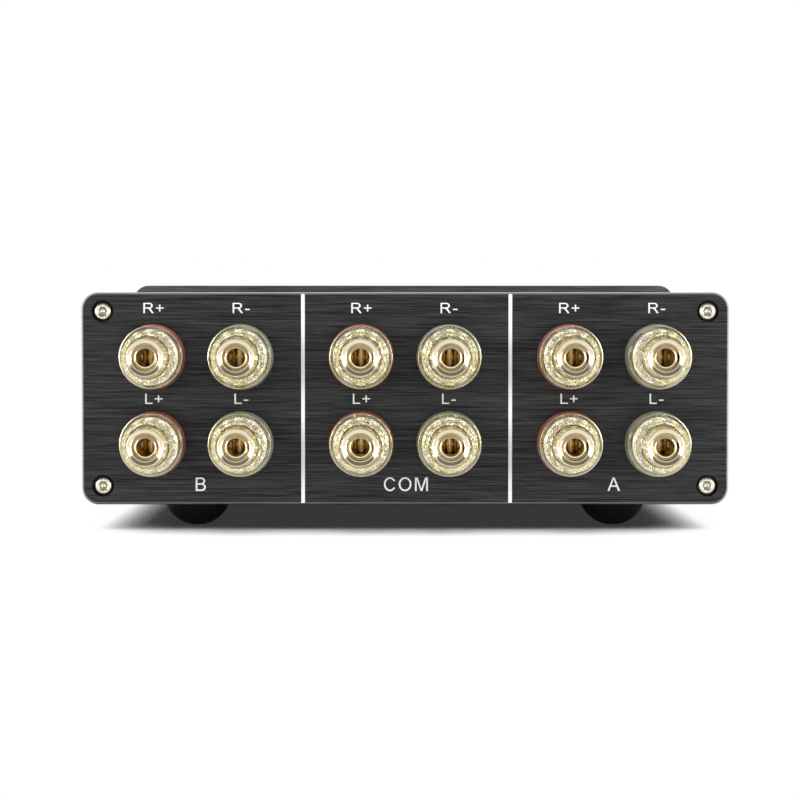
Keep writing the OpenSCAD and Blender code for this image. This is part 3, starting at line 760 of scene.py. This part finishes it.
def wire_drill():
    bm = bmesh.new()
    bmesh.ops.create_cone(bm, cap_ends=True, segments=64, radius1=HOLE_R * MM,
                          radius2=HOLE_R * MM, depth=HOLE_LENGTH * MM,
                          matrix=Matrix.Translation((0, HOLE_Y * MM, 0)))
    return cutter(bm, "drill")


def flat_mill():
    middle = (-(FLAT_X + MILL_SIZE / 2) * MM, (FLAT_FROM + FLAT_TO) / 2 * MM, 0)
    longer = Matrix.Diagonal((1, (FLAT_TO - FLAT_FROM) / MILL_SIZE, 1, 1))
    bm = bmesh.new()
    bmesh.ops.create_cube(bm, size=MILL_SIZE * MM, matrix=Matrix.Translation(middle) @ longer)
    return cutter(bm, "mill")


def cut_away(bar, tools):
    for tool in tools:
        cut = bar.modifiers.new(tool.name, "BOOLEAN")
        cut.operation = "DIFFERENCE"
        cut.solver = "EXACT"
        cut.object = tool
    bpy.context.view_layer.update()
    done = bpy.data.meshes.new_from_object(bar.evaluated_get(bpy.context.view_layer.depsgraph))
    for used in [bar, *tools]:
        bpy.data.objects.remove(used)
    return done


print("hole", 2 * HOLE_R, "mm wide, flat", FLAT_X, "mm from the axis")

# %% [markdown]
# All twelve cores are fixed to the panel and never move, so their copies are joined to one piece.
# The walls of each socket, up to a hair outside its radius, get the drilled brass, whose darker
# colour is partly painted shade.

# %% Post cores
CORE_STEPS = 64
WALL_SLACK = 0.02


def core_mesh():
    whole = metal_mesh("core", turned(CORE, CORE_STEPS, closed=False), gold, brass)
    bar = bpy.data.objects.new("core", whole)
    bpy.context.scene.collection.objects.link(bar)
    done = cut_away(bar, [wire_drill(), flat_mill()])
    for face in done.polygons:
        middle = face.center
        inside = Vector((middle.x, middle.z)).length < (SOCKET_R + WALL_SLACK) * MM
        # The socket walls take the second material, darker partly as painted shade.
        face.material_index = int(inside and middle.y > FLANGE_FRONT_Y * MM)
    return done


core = core_mesh()
cores = bmesh.new()
for post in POSTS:
    own = core.copy()
    own.transform(post_place(post))
    cores.from_mesh(own)
joined = bpy.data.meshes.new("post_bars")
cores.to_mesh(joined)
cores.free()
joined.materials.append(gold.material)
joined.materials.append(brass.material)
joined.set_sharp_from_angle(angle=radians(SHARP_ANGLE))
show_instead("post_bars", joined, "case", "post_cores")
print("core", len(core.polygons), "faces each")

# %% [markdown]
# ## Clear plastic
# The shell of each cap is moulded polycarbonate, clear with a breath of yellow, and the collars
# are the same plastic, half of them dyed red. A smooth transmission with a real index of
# refraction bends the gold insert behind it until it fills the shell, as in the picture. The
# shells let all the light through. The collars keep a share of it, which makes them milky. The
# moulded skin isn't flat: a very soft, slow relief breaks the reflections.

# %% Clear shells and collars
REFRACTION, SCUFFING = 1.56, 0.02


def clear_plastic(name, tint, roughness, relief, clearness):
    finish = Finish(name, Base_Color=tint, IOR=REFRACTION, Transmission_Weight=clearness)
    scuffs = finish.handling(scale=260)["Smudge"]
    finish.set("Roughness", finish.between(scuffs, roughness, roughness + SCUFFING))
    finish.bump(finish.noise(scale=420, detail=1.0), relief, strength=1.0)
    return finish


dress(clear_plastic("clear_shell", screen_colour(254, 254, 245), roughness=0.0, relief=0.02,
                    clearness=1.0), "cap_shell")
dress(clear_plastic("clear_collar", screen_colour(226, 228, 204), roughness=0.06, relief=0.04,
                    clearness=0.7), "clear_collars")
dress(clear_plastic("red_collar", screen_colour(190, 110, 98), roughness=0.08, relief=0.04,
                    clearness=0.5), "red_collars")

# %% [markdown]
# ## Screws and steel
# The panel screws are nickel plated, bright with a warm cast. The switch frame, shaft and rods
# are plain zinc or nickel, with rolling or turning marks, and the small grub screw in the knob is
# blackened.

# %% Plated steel
def plated_steel(name, light, dark, smooth, rough, stretch):
    finish = Finish(name, Metallic=1.0)
    marks = finish.streaks(stretch, contrast=0.2)
    smudge = finish.handling(scale=150)["Smudge"]
    tone = finish.mix(marks, light, dark)
    finish.set("Base Color", finish.mix(finish.between(smudge, 0, 0.2), tone, dark))
    finish.set("Roughness", finish.between(smudge, smooth, rough))
    finish.bump(marks, relief=0.01, strength=0.4)
    return finish


nickel = plated_steel("nickel_screws", screen_colour(240, 238, 220), screen_colour(222, 219, 200),
                      smooth=0.3, rough=0.42, stretch=(300, 4000, 300))
dress(plated_steel("switch_steel", screen_colour(214, 215, 214), screen_colour(178, 180, 182),
                   smooth=0.25, rough=0.38, stretch=(400, 900, 400)),
      "switch_frame", "switch_nut", "tie_rods", "shaft")
dress(plated_steel("blackened_steel", screen_colour(62, 60, 60), screen_colour(38, 37, 38),
                   smooth=0.35, rough=0.5, stretch=(400, 2500, 400)), "knob_screw")

# %% [markdown]
# The head of a cheap screw is struck in a die, which rounds it towards its edge. The solid model
# has a small plain chamfer there. A copy of it gets a wider, rounder shoulder: the points of the
# flat face move in and those of the edge move down, and smooth shading does the rest. The socket
# keeps its sharp corners. The copy is one mesh with eight screws in it, so it is first parted
# into its islands, each a set of points that are joined by edges.

# %% Screw heads
FACE_FROM_R, FACE_DEPTH, FACE_IN = 1.7, 0.02, 0.25
EDGE_FROM_R, EDGE_DEPTH, EDGE_DOWN = 2, 0.4, 0.15
HEAD_SHARP_ANGLE = 50


def islands(bm):
    left = set(bm.verts)
    while left:
        found = set()
        reached = [left.pop()]
        while reached:
            vert = reached.pop()
            found.add(vert)
            near = {edge.other_vert(vert) for edge in vert.link_edges} & left
            left -= near
            reached.extend(near)
        yield found


def round_head(screw):
    xs, ys, zs = ([vert.co[i] for vert in screw] for i in range(3))
    cx, cz = (min(xs) + max(xs)) / 2, (min(zs) + max(zs)) / 2
    outward = 1 if max(ys) > 0 else -1
    top = max(outward * y for y in ys)
    for vert in screw:
        depth = top - outward * vert.co.y
        away = Vector((vert.co.x - cx, 0, vert.co.z - cz))
        if away.length > FACE_FROM_R * MM and depth < FACE_DEPTH * MM:
            vert.co -= away.normalized() * FACE_IN * MM
        elif away.length > EDGE_FROM_R * MM and depth < EDGE_DEPTH * MM:
            vert.co.y -= outward * EDGE_DOWN * MM


bm = bmesh.new()
bm.from_mesh(nodes["case_screws"].data)
bmesh.ops.remove_doubles(bm, verts=bm.verts, dist=WELD)
screws = list(islands(bm))
for screw in screws:
    round_head(screw)
bmesh.ops.recalc_face_normals(bm, faces=bm.faces)
struck = metal_mesh("struck_screws", bm, nickel, crease=HEAD_SHARP_ANGLE)
show_instead("struck_screws", struck, "case", "case_screws")
print(len(screws), "screws with rounded heads")

# %% [markdown]
# ## Rubber feet
# Each foot is a half ball of soft black rubber. It hardly shines, it holds dust, and its moulded
# skin has a very fine grain.

# %% Rubber
def rubber():
    finish = Finish("black_rubber", Specular_IOR_Level=0.3)
    grain = finish.noise(scale=2600, detail=3.0)
    use = finish.handling(scale=70)
    tone = finish.mix(grain, screen_colour(6, 5, 5), screen_colour(14, 12, 12))
    finish.set("Base Color", finish.mix(finish.between(use["Dust"], 0, 0.3), tone,
                                        screen_colour(70, 68, 66)))
    finish.set("Roughness", finish.between(use["Smudge"], 0.62, 0.78))
    finish.bump(grain, relief=0.04, strength=0.6)
    return finish


dress(rubber(), "feet")

# %% [markdown]
# ## Inside the box
# Nobody sees these parts until the case is opened, but they get their own finishes all the same:
# tinned brass for whatever is soldered, brown paper laminate for the wafers, ivory plastic for
# the rotors, black nylon bushes and soft wire insulation.

# %% Moulded and laminated parts
SMUDGE_DULLS = 0.12


def moulded(name, dark, light, roughness, grain_scale, relief):
    finish = Finish(name)
    grain = finish.noise(grain_scale, detail=3.0)
    use = finish.handling(scale=90)
    tone = finish.mix(grain, dark, light)
    finish.set("Base Color", finish.mix(finish.between(use["Dust"], 0, 0.15), tone, light))
    finish.set("Roughness", finish.between(use["Smudge"], roughness, roughness + SMUDGE_DULLS))
    finish.bump(grain, relief, strength=0.5)
    return finish


dress(moulded("black_nylon", screen_colour(22, 22, 24), screen_colour(36, 36, 38),
              roughness=0.45, grain_scale=1500, relief=0.02), "inner_bushes")
dress(moulded("brown_laminate", screen_colour(104, 68, 38), screen_colour(148, 104, 62),
              roughness=0.5, grain_scale=900, relief=0.03), "wafers")
dress(moulded("ivory_plastic", screen_colour(222, 214, 194), screen_colour(236, 230, 214),
              roughness=0.4, grain_scale=700, relief=0.02), "rotor_discs")
dress(moulded("red_insulation", screen_colour(150, 24, 20), screen_colour(184, 40, 32),
              roughness=0.4, grain_scale=500, relief=0.03), "wires_red")
dress(moulded("black_insulation", screen_colour(16, 16, 18), screen_colour(34, 34, 36),
              roughness=0.4, grain_scale=500, relief=0.03), "wires_black")
dress(plated_steel("tinned_brass", screen_colour(222, 218, 204), screen_colour(196, 184, 152),
                   smooth=0.28, rough=0.42, stretch=(700, 700, 700)),
      "solder_lugs", "wafer_terminals", "rotor_contacts")

# %% [markdown]
# ## White ink
# The lettering and the two upright lines are screen printed. The ink lies on the panel as a film
# a few hundredths of a millimetre thick. It could be a picture on the metal, but a real film
# keeps its crisp edge from any distance, so each letter is a flat closed outline with thickness.

# %% White ink
def white_ink():
    finish = Finish("white_ink")
    mesh_print = finish.noise(scale=5000, detail=2.0)
    smudge = finish.handling(scale=200)["Smudge"]
    tone = finish.mix(mesh_print, screen_colour(244, 244, 242), screen_colour(253, 253, 251))
    finish.set("Base Color", tone)
    finish.set("Roughness", finish.between(smudge, 0.5, 0.6))
    finish.bump(mesh_print, relief=0.01, strength=0.4)
    return finish


INK = white_ink().material
print("ink ready:", INK.name)

# %% [markdown]
# A letter is drawn on a grid one unit high. Straight strokes are corner points and round ones are
# bows. A letter with a hole has more than one outline, and the curve's fill leaves the hole open.

# %% Letter outlines
LETTERS = {
    "R": [[(0, 0), (0, 1), (0.46, 1), *bow(0.49, 0.727, 0.31, 0.273, 90, -70),
           (0.64, 0.39), (0.72, 0.27), (0.88, 0), (0.72, 0), (0.59, 0.2), (0.5, 0.34),
           (0.42, 0.42), (0.34, 0.443), (0.131, 0.443), (0.131, 0)],
          [(0.131, 0.557), (0.45, 0.557), *bow(0.45, 0.723, 0.213, 0.166, -90, 90),
           (0.131, 0.889)]],
    "L": [[(0, 0), (0, 1), (0.132, 1), (0.132, 0.118), (0.625, 0.118), (0.625, 0)]],
    "A": [[(0, 0), (0.384, 1), (0.527, 1), (0.936, 0), (0.785, 0), (0.669, 0.303),
           (0.25, 0.303), (0.14, 0)],
          [(0.289, 0.411), (0.628, 0.411), (0.523, 0.688), (0.452, 0.895), (0.398, 0.707)]],
    "B": [[(0, 0), (0, 1), (0.4, 1), *bow(0.42, 0.752, 0.287, 0.248, 90, -62),
           *bow(0.45, 0.28, 0.305, 0.28, 62, -90), (0.4, 0)],
          [(0.132, 0.58), (0.36, 0.58), *bow(0.4, 0.731, 0.176, 0.151, -90, 90),
           (0.132, 0.882)],
          [(0.132, 0.118), (0.4, 0.118), *bow(0.42, 0.29, 0.198, 0.172, -90, 90),
           (0.132, 0.462)]],
    "C": [[*bow(0.45, 0.5, 0.45, 0.517, 30, 330, 30), *bow(0.45, 0.5, 0.318, 0.406, 328, 32, 30)]],
    "O": [bow(0.478, 0.5, 0.478, 0.517, 0, 350, 35), bow(0.478, 0.5, 0.342, 0.406, 0, 350, 35)],
    "M": [[(0, 0), (0, 1), (0.199, 1), (0.436, 0.292), (0.472, 0.16), (0.508, 0.292),
           (0.748, 1), (0.958, 1), (0.958, 0), (0.83, 0), (0.83, 0.84), (0.545, 0),
           (0.418, 0), (0.128, 0.86), (0.128, 0)]],
    "+": [[(0.272, 0.162), (0.272, 0.436), (0, 0.436), (0, 0.551), (0.272, 0.551),
           (0.272, 0.823), (0.388, 0.823), (0.388, 0.551), (0.66, 0.551), (0.66, 0.436),
           (0.388, 0.436), (0.388, 0.162)]],
    "-": [[(0, 0.3), (0, 0.424), (0.377, 0.424), (0.377, 0.3)]],
}


def letter_width(letter):
    return max(x for outline in LETTERS[letter] for x, y in outline)


print("letters:", " ".join(LETTERS), "widths", [round(letter_width(k), 2) for k in LETTERS])

# %% [markdown]
# A word is one curve object with an outline for each letter and for each hole in it. It is filled,
# given half the film's thickness on each side, made a mesh, and only then moved onto the panel. The
# panel is read from behind, so a place to the right in the picture has a smaller x in the model.

# %% Ink on the rear panel
PANEL_LOW, PANEL_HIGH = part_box("rear_panel")
PANEL_Z = (PANEL_LOW.z + PANEL_HIGH.z) / 2
INK_HALF = 0.012 * MM
ON_REAR = Matrix(((-1, 0, 0, 0), (0, 0, 1, FACE_Y + INK_HALF), (0, 1, 0, PANEL_Z), (0, 0, 0, 1)))


def ink_film(name, outlines):
    """Closed outlines, in metres on the panel as it is read, become a thin white film."""
    curve = bpy.data.curves.new(name, "CURVE")
    curve.dimensions = "2D"
    curve.fill_mode = "BOTH"
    curve.extrude = INK_HALF
    for outline in outlines:
        spline = curve.splines.new("POLY")
        spline.points.add(len(outline) - 1)
        for point, (x, y) in zip(spline.points, outline):
            point.co = (x, y, 0, 1)
        spline.use_cyclic_u = True
    drawn = bpy.data.objects.new(name + "_outline", curve)
    bpy.context.scene.collection.objects.link(drawn)
    bpy.context.view_layer.update()
    mesh = bpy.data.meshes.new_from_object(drawn)
    bpy.data.objects.remove(drawn)
    mesh.name = name
    return mesh


def place_ink(name, mesh, place, body):
    bm = bmesh.new()
    bm.from_mesh(mesh)
    bmesh.ops.remove_doubles(bm, verts=bm.verts, dist=WELD)
    bmesh.ops.transform(bm, matrix=place, verts=bm.verts)
    bmesh.ops.recalc_face_normals(bm, faces=bm.faces)
    bm.to_mesh(mesh)
    bm.free()
    mesh.materials.clear()
    mesh.materials.append(INK)
    put(name, mesh, body)


def print_on_rear(name, outlines):
    place_ink(name, ink_film(name, outlines), ON_REAR, "case")


print("the film is", round(2 * INK_HALF / MM, 3), "mm thick")

# %% [markdown]
# Each terminal has its letter and sign centred over its post, R over the upper row and L over the
# lower one, so those words take their x from the posts. The three sections have a larger name at
# their foot, a hair off the middle of their posts. Small letters are printed a little wider than
# the large ones.

# %% Words
NAME_SIZE, NAME_GAP, NAME_Y = 3.15, 0.8, -20.0
NAMES = {"b": ("B", -47.7), "com": ("COM", 0.16), "a": ("A", 48.7)}
SIGN_SIZE, SIGN_STRETCH, SIGN_GAP = 2.4, 1.14, 0.5
ROWS = {"right": ("R", 21.1), "left": ("L", -0.04)}
SIGNS = {"pos": "+", "neg": "-"}


def word_outlines(word, size, stretch, gap, centre_x, centre_y):
    """A word's outlines in metres, from sizes and a place in millimetres."""
    high, wide, gap = size * MM, size * stretch * MM, gap * MM
    width = sum(letter_width(letter) * wide for letter in word) + gap * (len(word) - 1)
    left = centre_x * MM - width / 2
    bottom = centre_y * MM - high / 2
    outlines = []
    for letter in word:
        for outline in LETTERS[letter]:
            outlines.append([(left + x * wide, bottom + y * high) for x, y in outline])
        left += letter_width(letter) * wide + gap
    return outlines


for section, (name, x) in NAMES.items():
    print_on_rear("label_" + section, word_outlines(name, NAME_SIZE, 1, NAME_GAP, x, NAME_Y))
for section in NAMES:
    for pole, sign in SIGNS.items():
        for side, (letter, y) in ROWS.items():
            x = -post_place("_".join((section, side, pole))).translation.x / MM
            print_on_rear("_".join(("label", side, section, pole)),
                          word_outlines(letter + sign, SIGN_SIZE, SIGN_STRETCH, SIGN_GAP, x, y))
print(len(NAMES) + len(POSTS), "words printed")

# %% [markdown]
# The two upright lines part the panel into its three sections. They are printed like the words
# and run nearly to the panel's edges.

# %% Upright lines
MARGIN = 0.4 * MM
LINE_HALF = 0.43 * MM
LINES = {"divider_left": -23.82 * MM, "divider_right": 24.49 * MM}

top = PANEL_HIGH.z - PANEL_Z - MARGIN
for name, x in LINES.items():
    left, right = x - LINE_HALF, x + LINE_HALF
    print_on_rear(name, [[(left, -top), (left, top), (right, top), (right, -top)]])
print("lines", round(2 * top / MM, 1), "mm high")

# %% [markdown]
# On the front the knob has a short groove for a pointer, and the panel has three shallow pits at
# the knob's stops and middle. Both are filled with the same white ink, which lies a little below
# the metal. A filled groove wears far better than a printed line. A fill is a plain block or disc
# that is a hundredth of a millimetre narrower than its groove or pit on each side.

# %% Pointer and index marks
POINTER_WIDTH, POINTER_LENGTH, POINTER_FILL = 1.18 * MM, 4.5 * MM, 0.3 * MM
GROOVE_DEPTH, GROOVE_REACH = 0.9 * MM, 5.98 * MM
PIT_R, PIT_DEPTH, PIT_FILL, PIT_BEYOND_KNOB = 0.79 * MM, 0.3 * MM, 0.2 * MM, 4 * MM
TURNS = {"index_left": -30, "index_middle": 0, "index_right": 30}


def block(size, place):
    bm = bmesh.new()
    sized = Matrix.Translation(place) @ Matrix.Diagonal((*size, 1))
    bmesh.ops.create_cube(bm, size=1, matrix=sized)
    return bm


def disc(radius, thickness, place):
    bm = bmesh.new()
    facing = Matrix.Translation(place) @ Matrix.Rotation(radians(90), 4, "X")
    bmesh.ops.create_cone(bm, cap_ends=True, segments=32, radius1=radius, radius2=radius,
                          depth=thickness, matrix=facing)
    return bm


def fill(name, bm, body):
    mesh = bpy.data.meshes.new(name)
    bm.to_mesh(mesh)
    bm.free()
    place_ink(name, mesh, Matrix.Identity(4), body)


knob_low, knob_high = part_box("knob")
shaft_z = (knob_low.z + knob_high.z) / 2
knob_r = (knob_high.z - knob_low.z) / 2
pointer_y = knob_low.y + GROOVE_DEPTH - POINTER_FILL / 2
pointer_z = shaft_z + knob_r - GROOVE_REACH + POINTER_LENGTH / 2
fill("pointer_fill", block((POINTER_WIDTH, POINTER_FILL, POINTER_LENGTH),
                           (0, pointer_y, pointer_z)), "selector")
pit_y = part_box("front_panel")[0].y + PIT_DEPTH - PIT_FILL / 2
pit_reach = knob_r + PIT_BEYOND_KNOB
for name, turn in TURNS.items():
    place = (pit_reach * sin(radians(turn)), pit_y, shaft_z + pit_reach * cos(radians(turn)))
    fill(name, disc(PIT_R, PIT_FILL, place), "case")
print("pointer and", len(TURNS), "index marks filled")
